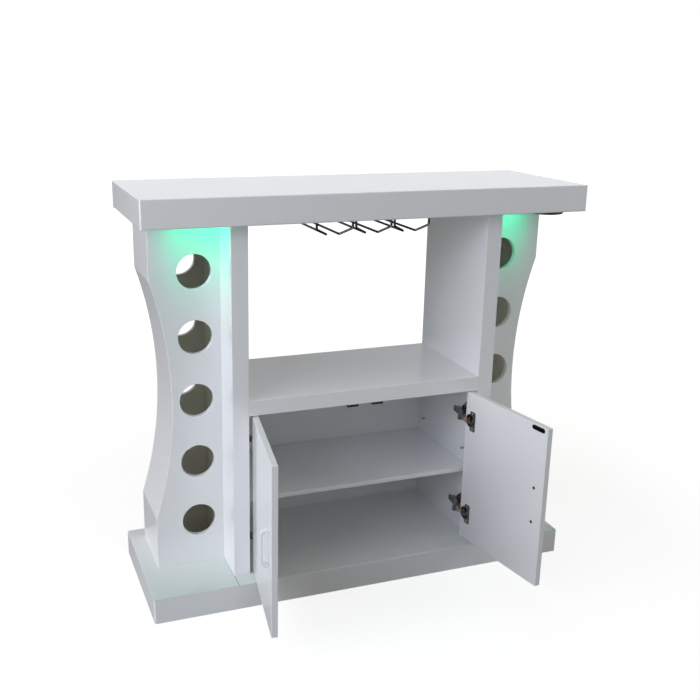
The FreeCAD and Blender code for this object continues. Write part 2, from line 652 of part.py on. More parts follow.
def arm_screws(z):
    """The fixing and adjusting screws in the arm's web, each with a straight slot."""
    screws = []
    radius = ARM_SCREW / 2.0
    for depth in ARM_SCREWS:
        x, y = from_corner(PLATE_BLOCK[2], depth)
        end = x + ARM_HALF + CHEEK
        shank = rod(radius, (x, y, z), (1, 0, 0), end - x)
        slot = block(end - 1.0, end, y - 0.4, y + 0.4, z - radius + 0.5, z + radius - 0.5)
        screws.append(shank.cut(slot))
    return screws


def hinge_plate(z):
    """The wall plate: two tapered screwed wings and the raised block that the arm clips onto."""
    x, y = from_corner(0, WALL_PLATE_FRONT)
    upper = list(WALL_PLATE_OUTLINE)
    outline = upper + [(depth, -height) for depth, height in reversed(upper)]
    corners = [Vector(x, y + depth, z + height) for depth, height in outline]
    wings = Part.Face(Part.makePolygon(corners + corners[:1])).extrude(Vector(WALL_PLATE, 0, 0))
    depth, height, radius = WALL_PLATE_SLOT
    for side in (-1, 1):
        wings = wings.cut(rod(radius, (x, y + depth, z + side * height), (1, 0, 0), WALL_PLATE))
    half = LINK_WIDTH / 2.0 + CHEEK_GAP
    front, rear, thick = PLATE_BLOCK
    raised = block(x, x + thick, UPRIGHT_FRONT + front, UPRIGHT_FRONT + rear, z - half, z + half)
    shape = wings.fuse(raised).removeSplitter()
    for screw in plate_screws(z):
        shape = shape.cut(screw)
    return shape.cut(hinge_arm(z))


def plate_screws(z):
    screws = []
    length = PLATE_SCREW_LENGTH
    for side in (-1, 1):
        x, y = from_corner(WALL_PLATE, PLATE_SCREW_PLACE)
        place = z + side * PLATE_SCREWS / 2.0
        shank = rod(WOOD_SCREW / 2.0, (x - length, y, place), (1, 0, 0), length)
        head = rod(SCREW_HEAD[0] / 2.0, (x, y, place), (1, 0, 0), SCREW_HEAD[1])
        screws.append(shank.fuse(head))
    return screws


# ---- magnetic catches ----
def catch_corner():
    """The catch's front, just behind the closed door's strike plate."""
    front = UPRIGHT_FRONT - DOOR_PROUD + DOOR + STRIKE_PLATE + CATCH_AIR
    return (-CATCH_CENTRE, front)


def catch_parts():
    width, depth, height = CATCH_SIZE
    magnet_width, magnet_depth, magnet_height = CATCH_MAGNET
    x, y = catch_corner()
    front = y + CATCH_POLE
    low = SHELF_UNDER - height
    housing = block(x - width / 2, x + width / 2, front, front + depth, low, SHELF_UNDER)
    housing = eased(housing, EASED, lambda b: not flat(b.ZMin, b.ZMax, SHELF_UNDER))
    z = low + (height - magnet_height) / 2
    magnet = block(
        x - magnet_width / 2,
        x + magnet_width / 2,
        y,
        y + magnet_depth,
        z,
        z + magnet_height,
    )
    housing = housing.cut(magnet)
    parts["catch_housings"] = group([housing, mirrored(housing)])
    parts["catch_magnets"] = group([magnet, mirrored(magnet)])


# ---- stemware rack ----
def rail_wire(centre, side):
    """Half a hanger: down from the front bar, out to the wing, back along it and up to the rear bar."""
    top = SLAB_UNDER - RACK_BAR[1]
    bend = SLAB_UNDER - RACK_BEND_DROP
    low = SLAB_UNDER - RACK_RAIL_DROP
    x = centre + side * RACK_TWIN
    wing = centre + side * RACK_WING
    lag = RACK_RAIL_FRONT - RACK_FRONT
    points = [
        (x, RACK_FRONT, top),
        (x, RACK_FRONT, bend),
        (wing, RACK_RAIL_FRONT, low),
        (wing, RACK_BACK - lag, low),
        (x, RACK_BACK, bend),
        (x, RACK_BACK, top),
    ]
    return bent_wire(points, WIRE / 2.0, WIRE)


def stemware_rack():
    wires = []
    for place in (-1.5, -0.5, 0.5, 1.5):
        centre = place * RACK_PITCH
        for side in (-1, 1):
            outermost = abs(place) > 1 and side * place > 0
            if not outermost:
                wires.append(rail_wire(centre, side))
    parts["rack_wires"] = group(wires)
    width, thick = RACK_BAR
    half = 1.5 * RACK_PITCH + RACK_BAR_OVERHANG
    place = half - RACK_SCREW_INSET
    bars = []
    screws = []
    for y in (RACK_FRONT, RACK_BACK):
        bar = block(-half, half, y - width / 2, y + width / 2, SLAB_UNDER - thick, SLAB_UNDER)
        bar = eased(bar, SOFT, lambda b: b.ZLength > thick / 2 and b.XLength < 1)
        for x in (-place, 0.0, place):
            low = SLAB_UNDER - thick
            shank = rod(WOOD_SCREW / 2.0, (x, y, low), (0, 0, 1), RACK_SCREW_DEPTH + thick)
            head = rod(SCREW_HEAD[0] / 2.0, (x, y, low - SCREW_HEAD[1]), (0, 0, 1), SCREW_HEAD[1])
            screws.append(shank.fuse(head))
            bar = bar.cut(screws[-1])
        bars.append(bar)
    parts["rack_mounting_bars"] = group(bars)
    parts["rack_screws"] = group(screws)


# ---- lighting ----
def lighting():
    length, width, thick = LED_BAR
    x = -UPRIGHT_OUTSIDE - LED_BAR_GAP - length
    y = TOWER_FRONT - LED_BAR_AHEAD - width / 2
    bar = block(x, x + length, y, y + width, SLAB_UNDER - thick, SLAB_UNDER)
    bar = eased(bar, EASED, lambda b: flat(b.ZMin, b.ZMax, SLAB_UNDER - thick) and b.XLength > 1)
    parts["led_light_bars"] = group([bar, mirrored(bar)])
    place = (LED_BOX_CENTRE, UPRIGHT_FRONT + LED_BOX_RADIUS, SLAB_UNDER)
    box = rod(LED_BOX_RADIUS, place, (0, 0, -1), LED_BOX_HEIGHT)
    underside = SLAB_UNDER - LED_BOX_HEIGHT
    parts["led_control_box"] = eased(box, LED_BOX_SOFT, lambda b: flat(b.ZMin, b.ZMax, underside))


# ---- assembly ----
def hinged_pieces():
    both_sides("door", opened(door_board()))
    both_sides("door_handle", opened(handle()))
    both_sides("handle_screws", opened(group(handle_screw_pair())))
    both_sides("strike_plate", opened(strike_plate()))
    both_sides("hinge_cups", opened(group([hinge_cup(z) for z in HINGE_HEIGHTS])))
    cup_screws = [cup_screw(z + s * CUP_SCREWS[0] / 2.0) for z in HINGE_HEIGHTS for s in (-1, 1)]
    both_sides("cup_screws", opened(group(cup_screws)))
    for level, z in zip(("upper", "lower"), HINGE_HEIGHTS):
        both_sides(level + "_hinge_link", hinge_link(z))
    arms = [hinge_arm(z) for z in HINGE_HEIGHTS]
    plates = [hinge_plate(z) for z in HINGE_HEIGHTS]
    screws = [screw for z in HINGE_HEIGHTS for screw in plate_screws(z) + arm_screws(z)]
    parts["hinge_arms"] = group(arms + [mirrored(arm) for arm in arms])
    parts["hinge_wall_plates"] = group(plates + [mirrored(plate) for plate in plates])
    parts["hinge_plate_screws"] = group(screws + [mirrored(screw) for screw in screws])


def drill(names, tool_name):
    """Cuts a fastener's own shape out of the boards that it goes into."""
    for name in names:
        for solid in parts[tool_name].Solids:
            if parts[name].BoundBox.intersect(solid.BoundBox):
                parts[name] = parts[name].cut(solid)


def assemble():
    counter_slab()
    plinth()
    uprights()
    shelves()
    shelf_pins()
    frame_dowels()
    towers()
    hinged_pieces()
    catch_parts()
    stemware_rack()
    lighting()
    inner_boards = ["left_upright_inner_board", "right_upright_inner_board"]
    outer_boards = ["left_upright_outer_board", "right_upright_outer_board"]
    drill(inner_boards, "shelf_pins")
    drill(inner_boards, "hinge_plate_screws")
    drill(inner_boards + outer_boards + ["cabinet_floor", "top_underside_board"], "frame_dowels")
    drill(["top_underside_board"], "rack_screws")


def save():
    os.makedirs("parts", exist_ok=True)
    for name, shape in sorted(parts.items()):
        if not shape.isValid() or not shape.Solids:
            print("CHECK", name, "valid", shape.isValid(), "solids", len(shape.Solids))
        shape.exportStep("parts/" + name + ".step")
    print(len(parts), "pieces")
    print("arm pin", ARM_PIN, "cup pin at rest", CUP_PIN_OPEN, "link turn", LINK_TURN)


assemble()
save()
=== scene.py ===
"""Bar counter with shelves: lacquered boards, two bottle towers, a stemware rack and a two-door cabinet."""

import json
import math

import bmesh
import bpy
from bpy.props import FloatProperty, FloatVectorProperty, PointerProperty
from mathutils import Matrix, Vector


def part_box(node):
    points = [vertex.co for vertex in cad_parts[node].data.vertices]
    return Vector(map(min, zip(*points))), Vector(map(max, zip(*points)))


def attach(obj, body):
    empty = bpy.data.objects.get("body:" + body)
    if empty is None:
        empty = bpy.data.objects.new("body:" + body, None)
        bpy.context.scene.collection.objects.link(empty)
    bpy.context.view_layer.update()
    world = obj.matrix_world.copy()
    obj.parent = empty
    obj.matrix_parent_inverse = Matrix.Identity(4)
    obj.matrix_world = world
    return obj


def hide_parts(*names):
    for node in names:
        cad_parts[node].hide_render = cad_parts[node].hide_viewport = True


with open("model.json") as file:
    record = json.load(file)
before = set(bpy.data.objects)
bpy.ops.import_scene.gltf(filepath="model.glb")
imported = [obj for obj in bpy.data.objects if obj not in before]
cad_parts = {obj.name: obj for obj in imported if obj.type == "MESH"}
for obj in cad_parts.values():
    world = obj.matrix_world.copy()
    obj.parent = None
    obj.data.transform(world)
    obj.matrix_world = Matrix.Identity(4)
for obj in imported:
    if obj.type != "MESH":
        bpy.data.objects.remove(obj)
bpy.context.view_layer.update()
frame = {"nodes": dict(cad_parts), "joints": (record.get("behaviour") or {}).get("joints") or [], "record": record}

bl_info = {
    "name": "Bar Counter with Shelves",
    "version": (1, 0, 0),
    "blender": (4, 5, 0),
    "location": "View3D > Sidebar > Bar Counter",
    "description": "Finishes the packed bar counter, adds its small hardware and sets its stage",
    "category": "Object",
}

NODES = frame["nodes"]
RECORD = frame["record"]
UP = Vector((0.0, 0.0, 1.0))
DOOR_OPEN = math.radians(99.0)  # from closed to the rest position
CHEEK = 0.007  # from the middle of a hinge arm to the outside of its cheeks
RIVET = (0.0024, 0.0007)  # radius and height of a hinge pin's head
# Sizes of a screw in head radii. A hinge pin's head is flat, with next to no recess and a short shank.
SCREW = {"Head Height": 0.42, "Shank Radius": 0.5, "Shank Length": 3.0, "Recess Depth": 0.26}
PIN = {**SCREW, "Head Height": RIVET[1] / RIVET[0], "Shank Length": 0.4, "Recess Depth": 0.001}
HEAD_SIDES = 28
HEAD_TOP = 0.7  # radius of the flat on top of a screw's dome
HEAD_RIM = 0.45  # share of the head's height that its upright rim takes
CROSS = ((0.24, 0.95), (0.95, 0.24))  # widths and lengths of the two slots
SHANK_SIDES = 14
WELD = 1e-6  # distance at which two points of a CAD piece are one
DIODE_PITCH = 0.0125  # from one diode of a light bar to the next
DIODE_WHITE = 0.35  # share of white in the light over a diode
DIODE_GAP = 0.7  # brightness of a bar between its diodes
GLOW_FADE = 2.2  # power with which the painted glow fades away from a bar
COVER_GLOW = {"half_length": 0.1, "reach": (0.25, 0.6, 0.05)}  # where the bars' painted light and shade fall on the plinth
JOINT_DEPTH = 0.002  # how far down the open joints in the plinth show
JOINT_GROOVE = 6.0  # depth of an open joint against the lacquer's waves
HOLLOW_ALLOWANCE = 0.0003  # round the box of a tower's hollow
ALL_SIDES = 2.0  # limit that counts every surface in a tower's hollow as inside
INWARD_SIDES = 0.3  # limit that leaves out a side panel's outer face
COAT = {"Coat Weight": 0.7, "Coat Roughness": 0.03, "IOR": 1.45}
PEEL_STRENGTH = 0.35
GRAIN_DEPTH = 0.0002  # of the fine grain on metal and plastic
BEECH_DEPTH = 0.0001
BEECH_DARK = 0.6  # tone of the dark grain against the light wood
CORE_EDGE = (0.02, 0.12)  # where the painted highlight along a wire's middle ends: turn away from the viewer, 0 to 1
FLOOR_SIZE = 60.0
HORIZON = (0.14, 0.26)  # heights between which the surroundings in the gloss grow dimmer
HIGH_SHEEN = 0.4  # share of the sheen that is left above the horizon
SHADE_FADE = (1.0, 3.0)  # distances over which the floor's shadow fades to plain white
WHITE = (1.0, 1.0, 1.0, 1.0)
BLACK = (0.0, 0.0, 0.0, 1.0)
TOWER_BOARDS = ("tower_front_panel", "tower_rear_panel", "upright_outer_board")
SURFACE = {"Color": "NodeSocketColor", "Roughness": "NodeSocketFloat", "Height": "NodeSocketFloat"}
# name, place, target, width, height, tint
LAMPS = (
    ("top", (-0.2, -0.3, 3.4), (0.0, 0.0, 1.0), 2.6, 1.8, (1.0, 1.0, 1.0)),
    ("left", (-3.4, -0.7, 1.5), (0.0, 0.0, 0.6), 2.0, 2.0, (0.94, 0.95, 1.0)),
    ("side", (-3.0, -2.6, 2.5), (0.1, -0.1, 0.5), 1.6, 1.6, (0.74, 0.82, 1.0)),
    ("right", (3.4, -1.2, 1.6), (0.0, 0.0, 0.6), 2.0, 2.0, (0.95, 0.97, 1.0)),
)


# ---- settings ----
def color_setting(name, description, value):
    return FloatVectorProperty(
        name=name, description=description, default=value, subtype="COLOR", size=3, min=0.0, max=1.0
    )


def length_setting(name, description, value):
    return FloatProperty(
        name=name, description=description, default=value, unit="LENGTH", subtype="DISTANCE"
    )


def share_setting(name, description, value):
    return FloatProperty(
        name=name, description=description, default=value, subtype="FACTOR", min=0.0, max=1.0
    )


def strength_setting(name, description, value):
    return FloatProperty(name=name, description=description, default=value, min=0.0)


def power_setting(name, description, value):
    return FloatProperty(name=name, description=description, default=value, unit="POWER", min=0.0)


class BoardSettings(bpy.types.PropertyGroup):
    """The white lacquer and the primed board behind it."""

    lacquer: color_setting("Lacquer", "Colour of the sprayed lacquer", (0.90, 0.905, 0.92))
    gloss: share_setting("Roughness", "Mean roughness of the lacquer", 0.3)
    tone: share_setting("Tone", "Share of the slow change of the lacquer's tone", 0.2)
    peel: length_setting("Orange peel", "Width of the lacquer's fine waves", 0.0022)
    peel_depth: length_setting("Orange peel depth", "Depth of the fine waves", 0.00003)
    board: color_setting("Primed board", "Colour of the primed board inside the towers", (0.93, 0.92, 0.86))
    dowel: color_setting("Dowel", "Colour of the beech dowels", (0.55, 0.37, 0.20))
    joint: length_setting("Joint", "Width of the open joint between two boards of the plinth", 0.0016)
    joint_color: color_setting("Joint colour", "Dust and shadow in the open joint", (0.20, 0.21, 0.20))
    # Painted green light and shade on the plinth's top in front of the towers
    under: color_setting("Under the towers", "Tone of the plinth in the bars' light", (0.67, 0.76, 0.71))


class HardwareSettings(bpy.types.PropertyGroup):
    """Colours and sizes of the metal and plastic fittings."""

    dark_steel: color_setting("Hinge steel", "Dark nickel on the hinges", (0.34, 0.32, 0.31))
    copper_steel: color_setting("Link steel", "Copper tone of the hinge links", (0.62, 0.47, 0.40))
    zinc: color_setting("Screws", "Zinc plating of the screws", (0.56, 0.57, 0.58))
    # Painted dark reflection: the wires' rims near-black, in place of the dark surroundings that chrome mirrors
    chrome: color_setting("Chrome", "The rack's wires at their rims", (0.022, 0.022, 0.024))
    # Painted highlight along the middle of the wires, where they face the viewer
    chrome_painted_highlight: color_setting("Chrome core", "The rack's wires along their middle", (0.30, 0.30, 0.31))
    handle: color_setting("Handle", "White of the bow handles", (0.92, 0.92, 0.93))
    black: color_setting("Black fittings", "Catches, strike plates and control box", (0.022, 0.022, 0.024))
    ferrite: color_setting("Magnets", "Dark grey of the catches' magnets", (0.10, 0.10, 0.10))
    # Near-black colour given to the handles' screws, which show as dark dots
    near_black: color_setting("Black screws", "Black finish of the handles' screws", (0.07, 0.07, 0.07))


class LightSettings(bpy.types.PropertyGroup):
    """The green light bars under the slab."""

    color: color_setting("Light", "Colour of the light bars", (0.01, 1.0, 0.45))
    # Painted green light and shade: the lacquer's colour near the bars is multiplied by this
    painted_glow_tint: color_setting("Stain", "Colour that the lacquer takes close to the bars", (0.52, 1.0, 0.9))
    strength: strength_setting("Strength", "Strength of the light bars", 10.0)
    cover: color_setting("Cover", "Milky cover of the bars", (0.62, 0.98, 0.82))
    cover_spot: color_setting("Cover spot", "Cover of the bars over a diode", (0.9, 1.0, 0.95))
    # Painted glow: the boards beside the bars give off the bars' light as their own emission
    wash: strength_setting("Wash", "Strength of the glow on the boards beside the bars", 0.55)
    reach: FloatVectorProperty(
        name="Reach",
        description="How far the glow reaches sideways, along the depth and down",
        default=(0.09, 0.26, 0.3),
        subtype="XYZ",
        unit="LENGTH",
        size=3,
    )


class StageSettings(bpy.types.PropertyGroup):
    """Where the camera stands and how bright the lamps are."""

    camera_place: FloatVectorProperty(
        name="Camera place",
        description="Where the camera stands, from the floor under the plinth's centre",
        default=(-0.97272, -2.34064, 1.37712),
        subtype="TRANSLATION",
        unit="LENGTH",
    )
    camera_turn: FloatVectorProperty(
        name="Camera turn",
        description="Turn to the right, tilt down and lean of the camera",
        default=(0.360151, 0.282787, 0.015048),
        subtype="EULER",
        unit="ROTATION",
    )
    lens: FloatProperty(
        name="Lens", description="Focal length for a 36 mm sensor", default=48.853, unit="CAMERA"
    )
    shift: FloatVectorProperty(
        name="Shift", description="Lens shift to the right and up", default=(0.046346, -0.009529), size=2
    )
    floor_dark: color_setting("Floor", "Darker tone of the floor", (0.35, 0.35, 0.35))
    floor_light: color_setting("Floor clouds", "Lighter tone of the floor", (0.37, 0.37, 0.37))
    floor_lift: share_setting("Floor lift", "Light that the floor near the counter gives off", 0.77)
    sky_color: color_setting("Sky colour", "Colour of the even light from all round", (1.0, 0.99, 0.89))
    sheen_color: color_setting("Sheen colour", "Colour that the gloss shows", (0.94, 0.96, 1.0))
    sky: strength_setting("Sky", "Strength of the even light from all round", 0.28)
    sheen: strength_setting("Sheen", "Strength of the surroundings that the gloss shows", 1.2)
    top: power_setting("Top lamp", "Power of the lamp above", 6.0)
    left: power_setting("Left lamp", "Power of the lamp on the left", 63.0)
    side: power_setting("Side lamp", "Power of the lamp in front on the left", 35.0)
    right: power_setting("Right lamp", "Power of the lamp on the right", 32.0)


# ---- node helpers ----
class Wiring:
    """Places and joins nodes in one tree."""

    def __init__(self, tree):
        self.tree = tree

    def put(self, kind, feeds=None, **settings):
        """Adds a node with its settings, and feeds its named inputs."""
        node = self.tree.nodes.new(kind)
        for name, value in settings.items():
            setattr(node, name, value)
        for name, value in (feeds or {}).items():
            self.feed(node.inputs[name], value)
        return node

    def feed(self, socket, value):
        """Links another node's output to a socket, or sets the socket's own value."""
        if isinstance(value, bpy.types.NodeSocket):
            self.tree.links.new(value, socket)
        else:
            socket.default_value = value

    def calc(self, operation, *values, clamp=False):
        node = self.put("ShaderNodeMath", operation=operation, use_clamp=clamp)
        for socket, value in zip(node.inputs, values):
            self.feed(socket, value)
        return node.outputs[0]

    def vector_calc(self, operation, first, second):
        return self.put("ShaderNodeVectorMath", {0: first, 1: second}, operation=operation).outputs[0]

    def tint(self, factor, first, second, mode="MIX"):
        """Mixes two colours."""
        node = self.put("ShaderNodeMix", data_type="RGBA", blend_type=mode)
        for index, value in ((0, factor), (6, first), (7, second)):
            self.feed(node.inputs[index], value)
        return node.outputs[2]

    def noise(self, vector, scale, detail):
        node = self.put("ShaderNodeTexNoise", {"Vector": vector, "Scale": scale, "Detail": detail})
        return node.outputs["Fac"]

    def span(self, value, low, high, start=0.0, end=1.0):
        """Maps the range from low to high onto the range from start to end."""
        feeds = {"Value": value, "From Min": low, "From Max": high, "To Min": start, "To Max": end}
        return self.put("ShaderNodeMapRange", feeds).outputs["Result"]


def socket_kind(value):
    if isinstance(value, float):
        return "NodeSocketFloat"
    return "NodeSocketColor" if len(value) == 4 else "NodeSocketVector"


def shader_group(name, inputs, outputs):
    """A group with named sockets, and the wiring to fill it with."""
    tree = bpy.data.node_groups.new(name, "ShaderNodeTree")
    for label, value in inputs.items():
        socket = tree.interface.new_socket(label, in_out="INPUT", socket_type=socket_kind(value))
        socket.default_value = value
    for label, kind in outputs.items():
        tree.interface.new_socket(label, in_out="OUTPUT", socket_type=kind)
    wiring = Wiring(tree)
    source = wiring.put("NodeGroupInput").outputs
    sink = wiring.put("NodeGroupOutput").inputs
    return wiring, source, sink


def lacquer_skin():
    """Sprayed lacquer: fine waves, a slow change of tone and a little unevenness of the gloss."""
    inputs = {
        "Vector": (0.0, 0.0, 0.0),
        "Color": (1.0, 1.0, 1.0, 1.0),
        "Roughness": 0.3,
        "Peel Size": 0.002,
        "Tone": 0.2,
    }
    wiring, source, sink = shader_group("lacquer_skin", inputs, SURFACE)
    place = source["Vector"]
    slow = wiring.noise(place, scale=2.3, detail=3.0)
    shade = wiring.tint(1.0, source["Color"], (0.90, 0.93, 0.97, 1.0), "MULTIPLY")
    factor = wiring.calc("MULTIPLY", wiring.span(slow, 0.25, 0.75), source["Tone"])
    wiring.feed(sink["Color"], wiring.tint(factor, source["Color"], shade))
    smudge = wiring.span(wiring.noise(place, scale=7.0, detail=3.0), 0.2, 0.8, -0.03, 0.03)
    wiring.feed(sink["Roughness"], wiring.calc("ADD", source["Roughness"], smudge, clamp=True))
    waves = wiring.calc("DIVIDE", 1.0, source["Peel Size"])
    wiring.feed(sink["Height"], wiring.noise(place, scale=waves, detail=1.0))
    return wiring.tree


def primed_board():
    """Primed fibre board: short fibres and a mottled tone."""
    inputs = {"Vector": (0.0, 0.0, 0.0), "Color": (0.4, 0.38, 0.3, 1.0)}
    wiring, source, sink = shader_group("primed_board", inputs, SURFACE)
    place = source["Vector"]
    fibre = wiring.noise(place, scale=420.0, detail=4.0)
    mottle = wiring.noise(place, scale=14.0, detail=3.0)
    dark = wiring.tint(1.0, source["Color"], (0.84, 0.82, 0.77, 1.0), "MULTIPLY")
    halves = [wiring.span(pattern, 0.3, 0.7, 0.0, 0.5) for pattern in (fibre, mottle)]
    wiring.feed(sink["Color"], wiring.tint(wiring.calc("ADD", *halves), source["Color"], dark))
    wiring.feed(sink["Roughness"], wiring.span(fibre, 0.2, 0.8, 0.82, 0.96))
    wiring.feed(sink["Height"], fibre)
    return wiring.tree


def tower_inside():
    """1 on surfaces that face the hollow of a tower, 0 elsewhere."""
    inputs = {"Vector": (0.0, 0.0, 0.0), "Normal": (0.0, 0.0, 0.0), "Outward Limit": 2.0}
    wiring, source, sink = shader_group("tower_inside", inputs, {"Mask": "NodeSocketFloat"})
    place = wiring.put("ShaderNodeSeparateXYZ", {"Vector": source["Vector"]}).outputs
    facing = wiring.put("ShaderNodeSeparateXYZ", {"Vector": source["Normal"]}).outputs
    outward = wiring.calc("MULTIPLY", facing["X"], wiring.calc("SIGN", place["X"]))
    from_middle = wiring.calc("ABSOLUTE", place["X"])
    front, back, wall, outside = inside_limits()
    mask = wiring.calc("GREATER_THAN", from_middle, wall)
    for test, value, limit in (
        ("LESS_THAN", from_middle, outside),
        ("GREATER_THAN", place["Y"], front),
        ("LESS_THAN", place["Y"], back),
        ("LESS_THAN", outward, source["Outward Limit"]),
    ):
        mask = wiring.calc("MULTIPLY", mask, wiring.calc(test, value, limit))
    wiring.feed(sink["Mask"], mask)
    return wiring.tree


def inside_limits():
    """A tower's hollow: front, back, the upright's side and the outside, with some allowance."""
    low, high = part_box("right_tower_side_panel")
    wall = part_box("right_upright_outer_board")[1][0]
    more = HOLLOW_ALLOWANCE
    return low[1] - more, high[1] + more, wall - more, high[0] + more


def board_joint():
    """Masks of the boards' top, and of the open joints that run there beside the two uprights."""
    inputs = {"Vector": (0.0, 0.0, 0.0), "Place": 0.3, "Level": 0.08, "Width": 0.0016}
    outputs = {"Top": "NodeSocketFloat", "Mask": "NodeSocketFloat"}
    wiring, source, sink = shader_group("board_joint", inputs, outputs)
    place = wiring.put("ShaderNodeSeparateXYZ", {"Vector": source["Vector"]}).outputs
    aside = wiring.calc("SUBTRACT", wiring.calc("ABSOLUTE", place["X"]), source["Place"])
    half = wiring.calc("MULTIPLY", source["Width"], 0.5)
    near = wiring.calc("LESS_THAN", wiring.calc("ABSOLUTE", aside), half)
    top = wiring.calc("GREATER_THAN", place["Z"], source["Level"])
    wiring.feed(sink["Top"], top)
    wiring.feed(sink["Mask"], wiring.calc("MULTIPLY", near, top))
    return wiring.tree


def light_wash():
    """Painted glow round the two light bars, even along a bar and fading away from it."""
    inputs = {
        "Vector": (0.0, 0.0, 0.0),
        "Place": (0.0, 0.0, 0.0),
        "Half Length": 0.05,
        "Reach": (0.1, 0.1, 0.1),
        "Share": 1.0,
        "Color": (0.0, 1.0, 0.5, 1.0),
    }
    outputs = {"Color": "NodeSocketColor", "Mask": "NodeSocketFloat"}
    wiring, source, sink = shader_group("light_wash", inputs, outputs)
    place = wiring.put("ShaderNodeSeparateXYZ", {"Vector": source["Vector"]}).outputs
    middle = wiring.put("ShaderNodeSeparateXYZ", {"Vector": source["Place"]}).outputs
    aside = wiring.calc("ABSOLUTE", wiring.calc("SUBTRACT", wiring.calc("ABSOLUTE", place["X"]), middle["X"]))
    feeds = {
        "X": wiring.calc("MAXIMUM", wiring.calc("SUBTRACT", aside, source["Half Length"]), 0.0),
        "Y": wiring.calc("SUBTRACT", place["Y"], middle["Y"]),
        "Z": wiring.calc("SUBTRACT", place["Z"], middle["Z"]),
    }
    offset = wiring.put("ShaderNodeCombineXYZ", feeds).outputs[0]
    scaled = wiring.vector_calc("DIVIDE", offset, source["Reach"])
    distance = wiring.put("ShaderNodeVectorMath", {0: scaled}, operation="LENGTH").outputs["Value"]
    near = wiring.calc("SUBTRACT", 1.0, distance, clamp=True)
    mask = wiring.calc("MULTIPLY", wiring.calc("POWER", near, GLOW_FADE), source["Share"])
    wiring.feed(sink["Mask"], mask)
    wiring.feed(sink["Color"], wiring.tint(mask, BLACK, source["Color"]))
    return wiring.tree


def plated_metal():
    """Plated steel: faint lines along the height, and smudges."""
    inputs = {
        "Vector": (0.0, 0.0, 0.0),
        "Color": (0.5, 0.5, 0.5, 1.0),
        "Roughness": 0.3,
        "Grain": 0.001,
    }
    wiring, source, sink = shader_group("plated_metal", inputs, SURFACE)
    place = source["Vector"]
    stretch = wiring.vector_calc("MULTIPLY", place, (1.0, 1.0, 0.06))
    lines = wiring.noise(stretch, scale=wiring.calc("DIVIDE", 1.0, source["Grain"]), detail=2.0)
    smudge = wiring.noise(place, scale=90.0, detail=3.0)
    dark = wiring.tint(1.0, source["Color"], (0.62, 0.6, 0.6, 1.0), "MULTIPLY")
    wiring.feed(sink["Color"], wiring.tint(wiring.span(smudge, 0.38, 0.66), source["Color"], dark))
    fine = wiring.span(lines, 0.3, 0.7, -0.06, 0.06)
    broad = wiring.span(smudge, 0.3, 0.7, -0.05, 0.07)
    spread = wiring.calc("ADD", fine, broad)
    wiring.feed(sink["Roughness"], wiring.calc("ADD", source["Roughness"], spread, clamp=True))
    wiring.feed(sink["Height"], lines)
    return wiring.tree


def moulded_skin():
    """Moulded plastic with a fine spark-eroded grain."""
    inputs = {
        "Vector": (0.0, 0.0, 0.0),
        "Color": (0.1, 0.1, 0.1, 1.0),
        "Roughness": 0.5,
        "Grain": 0.0004,
    }
    wiring, source, sink = shader_group("moulded_skin", inputs, SURFACE)
    place = source["Vector"]
    grain = wiring.noise(place, scale=wiring.calc("DIVIDE", 1.0, source["Grain"]), detail=2.0)
    slow = wiring.noise(place, scale=25.0, detail=3.0)
    light = wiring.tint(0.12, source["Color"], WHITE)
    wiring.feed(sink["Color"], wiring.tint(wiring.span(slow, 0.35, 0.75, 0.0, 0.35), source["Color"], light))
    spread = wiring.span(slow, 0.3, 0.7, -0.06, 0.06)
    wiring.feed(sink["Roughness"], wiring.calc("ADD", source["Roughness"], spread))
    wiring.feed(sink["Height"], grain)
    return wiring.tree


# ---- materials ----
GROUP_MAKERS = {
    "lacquer_skin": lacquer_skin,
    "primed_board": primed_board,
    "tower_inside": tower_inside,
    "board_joint": board_joint,
    "light_wash": light_wash,
    "plated_metal": plated_metal,
    "moulded_skin": moulded_skin,
}


def effect(wiring, name, **feeds):
    """Places one of the shared groups, made on its first use."""
    tree = bpy.data.node_groups.get(name) or GROUP_MAKERS[name]()
    node = wiring.put("ShaderNodeGroup", node_tree=tree)
    for label, value in feeds.items():
        wiring.feed(node.inputs[label.replace("_", " ").title()], value)
    return node.outputs


def new_material(name, numbers=()):
    """A material with its shader's plain numbers set, its wiring and its object coordinates."""
    material = bpy.data.materials.new(name)
    material.use_nodes = True
    wiring = Wiring(material.node_tree)
    shader = material.node_tree.nodes["Principled BSDF"]
    for label, value in dict(numbers).items():
        shader.inputs[label].default_value = value
    place = wiring.put("ShaderNodeTexCoord").outputs["Object"]
    return material, wiring, shader.inputs, place


def finish_surface(wiring, sockets, surface, depth, distance):
    """Feeds a group's colour, roughness and height to the shader."""
    wiring.feed(sockets["Base Color"], surface["Color"])
    wiring.feed(sockets["Roughness"], surface["Roughness"])
    bump = wiring.put(
        "ShaderNodeBump", {"Strength": depth, "Distance": distance, "Height": surface["Height"]}
    )
    wiring.feed(sockets["Normal"], bump.outputs["Normal"])


def opaque(color):
    """A colour with its fourth value, as the sockets want it."""
    return (*color, 1.0)


def lacquer(name, outward_limit=None, lit=False, cover=None):
    """White lacquer: bare inside the towers given a limit, with the light bars' painted glow and shade if asked.

    A cover is the box of the right-hand board under a tower. It gets painted green light and shade on its top
    towards the front, and meets the next board in an open joint.
    """
    boards = bpy.context.scene.board_settings
    material, wiring, sockets, place = new_material(name, COAT)
    skin = effect(
        wiring,
        "lacquer_skin",
        vector=place,
        color=opaque(boards.lacquer),
        roughness=boards.gloss,
        peel_size=boards.peel,
        tone=boards.tone,
    )
    surface = {label: skin[label] for label in SURFACE}
    share = 1.0
    if outward_limit is not None:
        share = bare_inside(wiring, place, surface, outward_limit)
        wiring.feed(sockets["Coat Weight"], wiring.calc("MULTIPLY", share, COAT["Coat Weight"]))
    if lit:
        add_glow(wiring, sockets, place, surface, share)
    if cover is not None:
        mark_cover(wiring, place, surface, cover)
    finish_surface(wiring, sockets, surface, PEEL_STRENGTH, boards.peel_depth)
    return material


